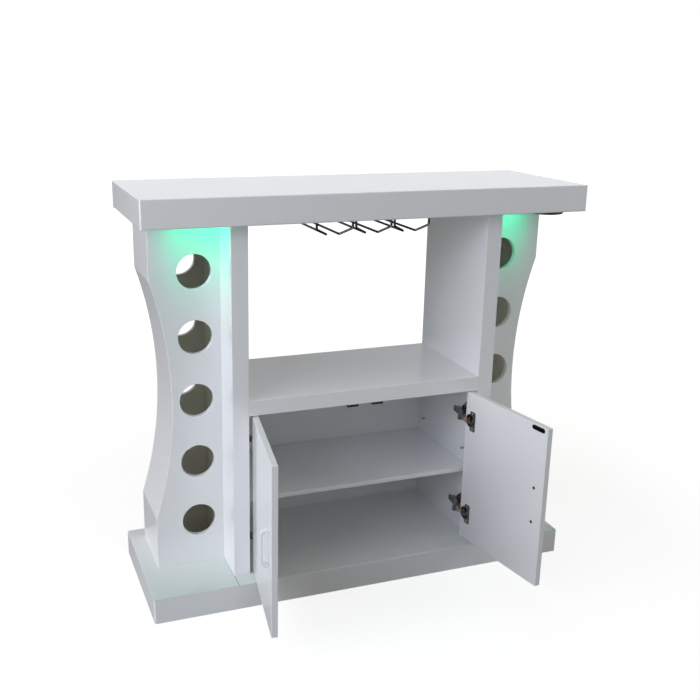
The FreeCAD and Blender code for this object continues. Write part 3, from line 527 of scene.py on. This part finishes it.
def bare_inside(wiring, place, surface, outward_limit):
    """Puts primed board on a tower's inner surfaces, and gives the share that is lacquered."""
    boards = bpy.context.scene.board_settings
    normal = wiring.put("ShaderNodeNewGeometry").outputs["Normal"]
    mask = effect(wiring, "tower_inside", vector=place, normal=normal, outward_limit=outward_limit)["Mask"]
    raw = effect(wiring, "primed_board", vector=place, color=opaque(boards.board))
    surface["Color"] = wiring.tint(mask, surface["Color"], raw["Color"])
    for label in ("Roughness", "Height"):
        node = wiring.put("ShaderNodeMix", {0: mask, 2: surface[label], 3: raw[label]})
        surface[label] = node.outputs[0]
    return wiring.calc("SUBTRACT", 1.0, mask)


def add_glow(wiring, sockets, place, surface, share):
    """Paints the light bars' glow into the emission, and painted green light and shade into the lacquer's colour
    near the bars.
    """
    lights = bpy.context.scene.light_settings
    low, high = right_bar()
    glow = effect(
        wiring,
        "light_wash",
        vector=place,
        place=tuple((low + high) / 2.0),
        half_length=(high.x - low.x) / 2.0,
        reach=tuple(lights.reach),
        share=share,
        color=opaque(lights.color),
    )
    # Painted glow: the board gives off the bars' green light near them
    wiring.feed(sockets["Emission Color"], glow["Color"])
    sockets["Emission Strength"].default_value = lights.wash
    # Painted green light and shade: the lacquer greener and darker close to the bars
    surface["Color"] = wiring.tint(glow["Mask"], surface["Color"], opaque(lights.painted_glow_tint), "MULTIPLY")


def mark_cover(wiring, place, surface, cover):
    """Paints the bars' green light and shade onto the plinth's top in front of the towers, and draws the open
    joints beside them.
    """
    boards = bpy.context.scene.board_settings
    low, high = cover
    level = high[2] - JOINT_DEPTH
    joint = effect(wiring, "board_joint", vector=place, place=low[0], level=level, width=boards.joint)
    middle = ((low[0] + high[0]) / 2.0, low[1], high[2])
    glow = effect(wiring, "light_wash", vector=place, place=middle, share=joint["Top"], **COVER_GLOW)
    # Painted green light and shade: the plinth's top darker and greener in front of the towers
    painted_cover_shade = wiring.tint(glow["Mask"], surface["Color"], opaque(boards.under), "MULTIPLY")
    surface["Color"] = wiring.tint(joint["Mask"], painted_cover_shade, opaque(boards.joint_color))
    groove = wiring.calc("MULTIPLY", joint["Mask"], JOINT_GROOVE)
    surface["Height"] = wiring.calc("SUBTRACT", surface["Height"], groove)


def right_bar():
    """The corners of the right-hand light bar's box."""
    points = islands("led_light_bars")[-1]
    return tuple(Vector(limit(point[axis] for point in points) for axis in range(3)) for limit in (min, max))


def metal(name, color, roughness, grain=0.0006, depth=0.15, core=None):
    """Plated metal. With a core colour, wire gets a painted highlight: lighter along its middle than towards its
    rims.
    """
    material, wiring, sockets, place = new_material(name, {"Metallic": 1.0})
    skin = effect(wiring, "plated_metal", vector=place, color=opaque(color), roughness=roughness, grain=grain)
    surface = {label: skin[label] for label in SURFACE}
    if core is not None:
        # Painted highlight: wire facing the viewer takes the lighter core colour
        rim = wiring.put("ShaderNodeLayerWeight").outputs["Facing"]
        surface["Color"] = wiring.tint(wiring.span(rim, *CORE_EDGE), opaque(core), skin["Color"])
    finish_surface(wiring, sockets, surface, depth, GRAIN_DEPTH)
    return material


def plastic(name, color, roughness, grain=0.0005, depth=0.3, coat=0.0):
    """Moulded plastic, with a gloss coat where a share is given."""
    material, wiring, sockets, place = new_material(name, {"Coat Weight": coat, "Coat Roughness": 0.05})
    skin = effect(wiring, "moulded_skin", vector=place, color=opaque(color), roughness=roughness, grain=grain)
    finish_surface(wiring, sockets, skin, depth, GRAIN_DEPTH)
    return material


def beech():
    """Beech with grain along the dowels."""
    material, wiring, sockets, place = new_material("dowel_beech")
    stretch = wiring.vector_calc("MULTIPLY", place, (1.0, 1.0, 0.05))
    grain = wiring.noise(stretch, scale=900.0, detail=4.0)
    color = bpy.context.scene.board_settings.dowel
    dark = tuple(channel * BEECH_DARK for channel in color)
    surface = {
        "Color": wiring.tint(wiring.span(grain, 0.35, 0.7), opaque(color), opaque(dark)),
        "Roughness": wiring.span(grain, 0.3, 0.7, 0.55, 0.75),
        "Height": grain,
    }
    finish_surface(wiring, sockets, surface, 0.3, BEECH_DEPTH)
    return material


def diffuser():
    """Milky cover of a light bar, with a brighter spot over each diode."""
    lights = bpy.context.scene.light_settings
    material, wiring, sockets, place = new_material("light_diffuser", {"Roughness": 0.45})
    along = wiring.put("ShaderNodeSeparateXYZ", {"Vector": place}).outputs["X"]
    wave = wiring.calc("SINE", wiring.calc("MULTIPLY", along, math.tau / DIODE_PITCH))
    spot = wiring.span(wave, -0.2, 1.0)
    bright = tuple(DIODE_WHITE + (1.0 - DIODE_WHITE) * channel for channel in lights.color)
    dim = tuple(DIODE_GAP * channel for channel in lights.color)
    wiring.feed(sockets["Base Color"], wiring.tint(spot, opaque(lights.cover), opaque(lights.cover_spot)))
    wiring.feed(sockets["Emission Color"], wiring.tint(spot, opaque(dim), opaque(bright)))
    sockets["Emission Strength"].default_value = lights.strength
    return material


# ---- object helpers ----
def slot_nodes(slot):
    """The CAD nodes that take their finish from one of the record's material slots."""
    return [NODES[s["node"]] for s in RECORD["subparts"] if s["material_slot"] == slot]


def paint(objects, material):
    """Gives each object one material."""
    for piece in objects:
        piece.data.materials.clear()
        piece.data.materials.append(material)


def both(name):
    """The left-hand and right-hand nodes of a mirrored piece."""
    return [NODES["left_" + name], NODES["right_" + name]]


def islands(node):
    """The loose parts of a CAD piece, each as a list of points."""
    mesh = bmesh.new()
    mesh.from_mesh(NODES[node].data)
    bmesh.ops.remove_doubles(mesh, verts=mesh.verts, dist=WELD)
    waiting = set(mesh.verts)
    found = []
    while waiting:
        stack = [waiting.pop()]
        points = []
        while stack:
            vertex = stack.pop()
            points.append(vertex.co.copy())
            near = {edge.other_vert(vertex) for edge in vertex.link_edges} & waiting
            waiting -= near
            stack.extend(near)
        found.append(points)
    mesh.free()
    return sorted(found, key=lambda points: tuple(round(value, 4) for value in centre_of(points)))


def centre_of(points):
    """The mean of a list of points."""
    return sum(points, Vector()) / len(points)


def screw_seats(node, heading_at):
    """Where each screw's head ends, the way it points and its radius, read from the CAD piece."""
    seats = []
    for points in islands(node):
        heading = heading_at(centre_of(points)).normalized()
        side = heading.orthogonal().normalized()
        seat = heading * max(point.dot(heading) for point in points)
        for axis in (heading.cross(side), side):
            span = [point.dot(axis) for point in points]
            seat += axis * (min(span) + max(span)) / 2.0
            radius = (max(span) - min(span)) / 2.0
        seats.append((seat, heading, radius))
    return seats


def pin_seats():
    """The same for the flat heads on both ends of each hinge arm's pin."""
    radius, height = RIVET
    seats = []
    for joint in frame["joints"]:
        if joint["name"].endswith("link_turn"):
            pin = Vector(joint["pos_m"])
            seats += [(pin + way * (CHEEK + height), way, radius) for way in (UP, -UP)]
    return seats


def screw_tree():
    """Cross-headed screws on points, each turned and sized by the point's own heading and radius."""
    tree = bpy.data.node_groups.new("cross_screws", "GeometryNodeTree")
    face = tree.interface
    face.new_socket("Geometry", in_out="INPUT", socket_type="NodeSocketGeometry")
    for label, value in SCREW.items():
        face.new_socket(label, in_out="INPUT", socket_type="NodeSocketFloat").default_value = value
    face.new_socket("Material", in_out="INPUT", socket_type="NodeSocketMaterial")
    face.new_socket("Geometry", in_out="OUTPUT", socket_type="NodeSocketGeometry")
    wiring = Wiring(tree)
    source = wiring.put("NodeGroupInput").outputs
    sink = wiring.put("NodeGroupOutput").inputs
    height = source["Head Height"]
    rim_height = wiring.calc("MULTIPLY", height, HEAD_RIM)
    shape = {"Vertices": HEAD_SIDES, "Radius": 1.0, "Depth": rim_height}
    rim = wiring.put("GeometryNodeMeshCylinder", shape)
    shape = {
        "Vertices": HEAD_SIDES,
        "Radius Top": HEAD_TOP,
        "Radius Bottom": 1.0,
        "Depth": wiring.calc("MULTIPLY", height, 1.0 - HEAD_RIM),
    }
    dome = wiring.put("GeometryNodeMeshCone", shape)
    head = wiring.put("GeometryNodeMeshBoolean", operation="UNION", solver="EXACT")
    for part, rise in ((rim, wiring.calc("MULTIPLY", rim_height, 0.5)), (dome, rim_height)):
        tree.links.new(raised(wiring, part, rise), head.inputs["Mesh 2"])
    cut = wiring.put("GeometryNodeMeshBoolean", {"Mesh 1": head.outputs["Mesh"]}, solver="EXACT")
    deep = wiring.calc("MULTIPLY", source["Recess Depth"], 2.0)
    for wide, long in CROSS:
        size = wiring.put("ShaderNodeCombineXYZ", {"X": wide, "Y": long, "Z": deep}).outputs[0]
        bar = wiring.put("GeometryNodeMeshCube", {"Size": size})
        tree.links.new(raised(wiring, bar, height), cut.inputs["Mesh 2"])
    length = source["Shank Length"]
    shape = {"Vertices": SHANK_SIDES, "Radius": source["Shank Radius"], "Depth": length}
    shank = wiring.put("GeometryNodeMeshCylinder", shape)
    screw = wiring.put("GeometryNodeJoinGeometry")
    for part in (cut.outputs["Mesh"], raised(wiring, shank, wiring.calc("MULTIPLY", length, -0.5))):
        tree.links.new(part, screw.inputs["Geometry"])
    heading = wiring.put("GeometryNodeInputNamedAttribute", {"Name": "heading"}, data_type="FLOAT_VECTOR")
    turn = wiring.put("FunctionNodeAlignRotationToVector", {"Vector": heading.outputs["Attribute"]}, axis="Z")
    radius = wiring.put("GeometryNodeInputNamedAttribute", {"Name": "radius"}, data_type="FLOAT")
    placed = wiring.put(
        "GeometryNodeInstanceOnPoints",
        {
            "Points": source["Geometry"],
            "Instance": screw.outputs["Geometry"],
            "Rotation": turn.outputs["Rotation"],
            "Scale": radius.outputs["Attribute"],
        },
    )
    real = wiring.put("GeometryNodeRealizeInstances", {"Geometry": placed.outputs["Instances"]})
    finish = {"Geometry": real.outputs["Geometry"], "Material": source["Material"]}
    dressed = wiring.put("GeometryNodeSetMaterial", finish)
    wiring.feed(sink["Geometry"], dressed.outputs["Geometry"])
    return tree


def raised(wiring, shape, height):
    """A mesh node's shape, moved up."""
    offset = wiring.put("ShaderNodeCombineXYZ", {"Z": height}).outputs[0]
    feeds = {"Geometry": shape.outputs["Mesh"], "Translation": offset}
    return wiring.put("GeometryNodeTransform", feeds).outputs["Geometry"]


def drive_screws(name, body, seats, material, slot, *replaced, sizes=SCREW):
    """Sets a screw on each seat, makes the result a plain mesh and lets it ride on its body."""
    values = {**sizes, "Material": material}
    tree = bpy.data.node_groups.get("cross_screws") or screw_tree()
    mesh = bpy.data.meshes.new(name)
    height = sizes["Head Height"]
    mesh.from_pydata([top - heading * height * radius for top, heading, radius in seats], [], [])
    for label, kind in (("heading", "FLOAT_VECTOR"), ("radius", "FLOAT")):
        mesh.attributes.new(label, kind, "POINT")
    for index, (_, heading, radius) in enumerate(seats):
        mesh.attributes["heading"].data[index].vector = heading
        mesh.attributes["radius"].data[index].value = radius
    piece = bpy.data.objects.new(name, mesh)
    bpy.context.scene.collection.objects.link(piece)
    modifier = piece.modifiers.new("screws", "NODES")
    modifier.node_group = tree
    for item in tree.interface.items_tree:
        if item.in_out == "INPUT" and item.name in values:
            modifier[item.identifier] = values[item.name]
    graph = bpy.context.evaluated_depsgraph_get()
    result = bpy.data.meshes.new_from_object(piece.evaluated_get(graph))
    piece.modifiers.clear()
    piece.data = result
    paint([piece], material)
    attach(piece, body)
    if replaced:
        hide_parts(*replaced)


def off_wall(middle):
    """The way that a screw in one of the cabinet's walls points."""
    return Vector((-math.copysign(1.0, middle.x), 0.0, 0.0))


def off_door(middle):
    """The way that a screw in the inner face of a door at rest points."""
    side = -math.copysign(1.0, middle.x)
    return Vector((side * math.sin(DOOR_OPEN), math.cos(DOOR_OPEN), 0.0))


def off_slab(_middle):
    """The way that a screw under the slab points."""
    return -UP


# ---- operators ----
class OBJECT_OT_lacquered_boards(bpy.types.Operator):
    """Lacquers the slab, the plinth, the uprights, the shelves and the doors, and finishes the dowels"""

    bl_idname = "object.lacquered_boards"
    bl_label = "Lacquered boards"

    def execute(self, context):
        paint(slot_nodes("lacquer"), lacquer("white_lacquer"))
        paint(slot_nodes("dowel_wood"), beech())
        return {"FINISHED"}


class OBJECT_OT_bottle_towers(bpy.types.Operator):
    """Finishes the towers and the boards under them: lacquer, primed board inside, painted glow and shade at the
    top
    """

    bl_idname = "object.bottle_towers"
    bl_label = "Bottle towers"

    def execute(self, context):
        board = lacquer("tower_lacquer", outward_limit=ALL_SIDES, lit=True)
        for name in TOWER_BOARDS:
            paint(both(name), board)
        paint([NODES["top_underside_board"]], board)
        paint(both("tower_side_panel"), lacquer("tower_side_lacquer", outward_limit=INWARD_SIDES))
        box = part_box("right_plinth_cover")
        under = lacquer("plinth_lacquer", outward_limit=ALL_SIDES, lit=True, cover=box)
        paint([*both("plinth_cover"), NODES["plinth_front_strip"]], under)
        return {"FINISHED"}


class OBJECT_OT_light_bars(bpy.types.Operator):
    """Finishes the light bars"""

    bl_idname = "object.light_bars"
    bl_label = "Light bars"

    def execute(self, context):
        paint(slot_nodes("led_diffuser"), diffuser())
        return {"FINISHED"}


class OBJECT_OT_stemware_rack(bpy.types.Operator):
    """Chromes the stemware rack"""

    bl_idname = "object.stemware_rack"
    bl_label = "Stemware rack"

    def execute(self, context):
        hardware = context.scene.hardware_settings
        chrome = metal(
            "rack_chrome", hardware.chrome, 0.12, grain=0.0015, depth=0.05, core=hardware.chrome_painted_highlight
        )
        paint(slot_nodes("chrome_wire"), chrome)
        return {"FINISHED"}


class OBJECT_OT_door_fittings(bpy.types.Operator):
    """Finishes the handles, the catches, the strike plates and the control box"""

    bl_idname = "object.door_fittings"
    bl_label = "Door fittings"

    def execute(self, context):
        hardware = context.scene.hardware_settings
        white = plastic("handle_white", hardware.handle, 0.18, grain=0.002, depth=0.08, coat=0.5)
        paint(slot_nodes("white_handle"), white)
        paint(slot_nodes("black_plastic"), plastic("fitting_black", hardware.black, 0.5))
        paint(slot_nodes("strike_steel"), metal("strike_black", hardware.black, 0.35))
        ferrite = metal("magnet_ferrite", hardware.ferrite, 0.6, grain=0.0008, depth=0.4)
        paint(slot_nodes("magnet"), ferrite)
        return {"FINISHED"}


class OBJECT_OT_concealed_hinges(bpy.types.Operator):
    """Plates the hinges and the shelf pins, and sets the screws and the heads of the hinge pins"""

    bl_idname = "object.concealed_hinges"
    bl_label = "Concealed hinges"

    def execute(self, context):
        hardware = context.scene.hardware_settings
        nickel = metal("hinge_nickel", hardware.dark_steel, 0.2)
        paint(slot_nodes("hinge_steel"), nickel)
        paint(slot_nodes("hinge_link_steel"), metal("link_copper", hardware.copper_steel, 0.3))
        zinc = metal("screw_zinc", hardware.zinc, 0.25, grain=0.0004, depth=0.1)
        paint(slot_nodes("screw_steel"), zinc)
        black = metal("screw_black_oxide", hardware.near_black, 0.4, grain=0.0004, depth=0.1)
        rows = [
            ("hinge_screws", "counter", "hinge_plate_screws", off_wall, zinc),
            ("rack_bar_screws", "counter", "rack_screws", off_slab, zinc),
        ]
        for side in ("left", "right"):
            body = side + "_door"
            rows.append((side + "_cup_screw_set", body, side + "_cup_screws", off_door, zinc))
            rows.append((side + "_handle_screw_set", body, side + "_handle_screws", off_door, black))
        for name, body, node, heading_at, plating in rows:
            drive_screws(name, body, screw_seats(node, heading_at), plating, "screw_steel", node)
        drive_screws("hinge_rivets", "counter", pin_seats(), nickel, "hinge_steel", sizes=PIN)
        return {"FINISHED"}


def aim(place, target):
    """A turn that looks from a place to a target."""
    look = (Vector(target) - Vector(place)).to_track_quat("-Z", "Y").to_matrix().to_4x4()
    return Matrix.Translation(place) @ look


class SCENE_OT_counter_stage(bpy.types.Operator):
    """Sets the floor, the soft light and the camera"""

    bl_idname = "scene.counter_stage"
    bl_label = "Stage"

    def execute(self, context):
        scene = context.scene
        settings = scene.stage_settings
        self.set_camera(scene, settings)
        self.lay_floor(settings)
        self.hang_lamps(scene, settings)
        self.light_sky(scene, settings)
        scene.view_settings.view_transform = "Standard"
        return {"FINISHED"}

    def set_camera(self, scene, settings):
        camera = bpy.data.cameras.new("camera")
        camera.lens = settings.lens
        camera.sensor_width = 36.0
        camera.shift_x, camera.shift_y = settings.shift
        holder = bpy.data.objects.new("camera", camera)
        scene.collection.objects.link(holder)
        yaw, pitch, lean = settings.camera_turn
        turn = Matrix.Rotation(-yaw, 4, "Z") @ Matrix.Rotation(math.pi / 2 - pitch, 4, "X")
        holder.matrix_world = Matrix.Translation(settings.camera_place) @ turn @ Matrix.Rotation(lean, 4, "Z")
        scene.camera = holder

    def lay_floor(self, settings):
        bpy.ops.mesh.primitive_plane_add(size=FLOOR_SIZE)
        floor = bpy.context.object
        floor.name = "floor"
        numbers = {"Roughness": 0.9, "Specular IOR Level": 0.1, "Emission Color": WHITE}
        material, wiring, sockets, place = new_material("floor_white", numbers)
        cloud = wiring.noise(place, scale=0.6, detail=2.0)
        color = wiring.tint(cloud, opaque(settings.floor_dark), opaque(settings.floor_light))
        wiring.feed(sockets["Base Color"], color)
        away = wiring.put("ShaderNodeVectorMath", {0: place}, operation="LENGTH").outputs["Value"]
        lift = wiring.span(away, *SHADE_FADE, settings.floor_lift, 1.0)
        path = wiring.put("ShaderNodeLightPath").outputs
        wiring.feed(sockets["Emission Strength"], wiring.calc("MULTIPLY", path["Is Camera Ray"], lift))
        paint([floor], material)

    def hang_lamps(self, scene, settings):
        for name, place, target, width, height, tint in LAMPS:
            light = bpy.data.lights.new(name, "AREA")
            light.color = tint
            light.shape = "RECTANGLE"
            light.size = width
            light.size_y = height
            light.energy = getattr(settings, name)
            lamp = bpy.data.objects.new(name + "_lamp", light)
            scene.collection.objects.link(lamp)
            lamp.matrix_world = aim(place, target)

    def light_sky(self, scene, settings):
        world = bpy.data.worlds.new("studio")
        world.use_nodes = True
        wiring = Wiring(world.node_tree)
        backdrop = world.node_tree.nodes["Background"].inputs
        path = wiring.put("ShaderNodeLightPath").outputs
        seen = wiring.calc("MAXIMUM", path["Is Camera Ray"], path["Is Transmission Ray"])
        colors = opaque(settings.sky_color), opaque(settings.sheen_color)
        unseen_color = wiring.tint(path["Is Glossy Ray"], *colors)
        wiring.feed(backdrop["Color"], wiring.tint(seen, unseen_color, WHITE))
        heading = wiring.put("ShaderNodeTexCoord").outputs["Generated"]
        height = wiring.put("ShaderNodeSeparateXYZ", {"Vector": heading}).outputs["Z"]
        sheen = wiring.span(height, *HORIZON, settings.sheen, settings.sheen * HIGH_SHEEN)
        unseen = wiring.span(path["Is Glossy Ray"], 0.0, 1.0, settings.sky, sheen)
        wiring.feed(backdrop["Strength"], wiring.span(seen, 0.0, 1.0, unseen, 1.0))
        scene.world = world


PIECES = (
    OBJECT_OT_lacquered_boards,
    OBJECT_OT_bottle_towers,
    OBJECT_OT_light_bars,
    OBJECT_OT_stemware_rack,
    OBJECT_OT_door_fittings,
    OBJECT_OT_concealed_hinges,
    SCENE_OT_counter_stage,
)
SETTINGS = {
    "board_settings": BoardSettings,
    "hardware_settings": HardwareSettings,
    "light_settings": LightSettings,
    "stage_settings": StageSettings,
}


class VIEW3D_PT_bar_counter(bpy.types.Panel):
    """Lists the counter's settings and the steps that use them."""

    bl_idname = "VIEW3D_PT_bar_counter"
    bl_label = "Bar counter"
    bl_space_type = "VIEW_3D"
    bl_region_type = "UI"
    bl_category = "Bar Counter"

    def draw(self, context):
        for label, group in SETTINGS.items():
            column = self.layout.column(heading=label.replace("_", " ").capitalize())
            for name in group.__annotations__:
                column.prop(getattr(context.scene, label), name)
        for operator in PIECES:
            self.layout.operator(operator.bl_idname)


CLASSES = (*SETTINGS.values(), *PIECES, VIEW3D_PT_bar_counter)


def register():
    for cls in CLASSES:
        bpy.utils.register_class(cls)
    for label, group in SETTINGS.items():
        setattr(bpy.types.Scene, label, PointerProperty(type=group))


def unregister():
    for label in SETTINGS:
        delattr(bpy.types.Scene, label)
    for cls in reversed(CLASSES):
        bpy.utils.unregister_class(cls)


def main():
    register()
    bpy.ops.object.lacquered_boards()
    bpy.ops.object.bottle_towers()
    bpy.ops.object.light_bars()
    bpy.ops.object.stemware_rack()
    bpy.ops.object.door_fittings()
    bpy.ops.object.concealed_hinges()
    bpy.ops.scene.counter_stage()


if __name__ == "__main__":
    main()
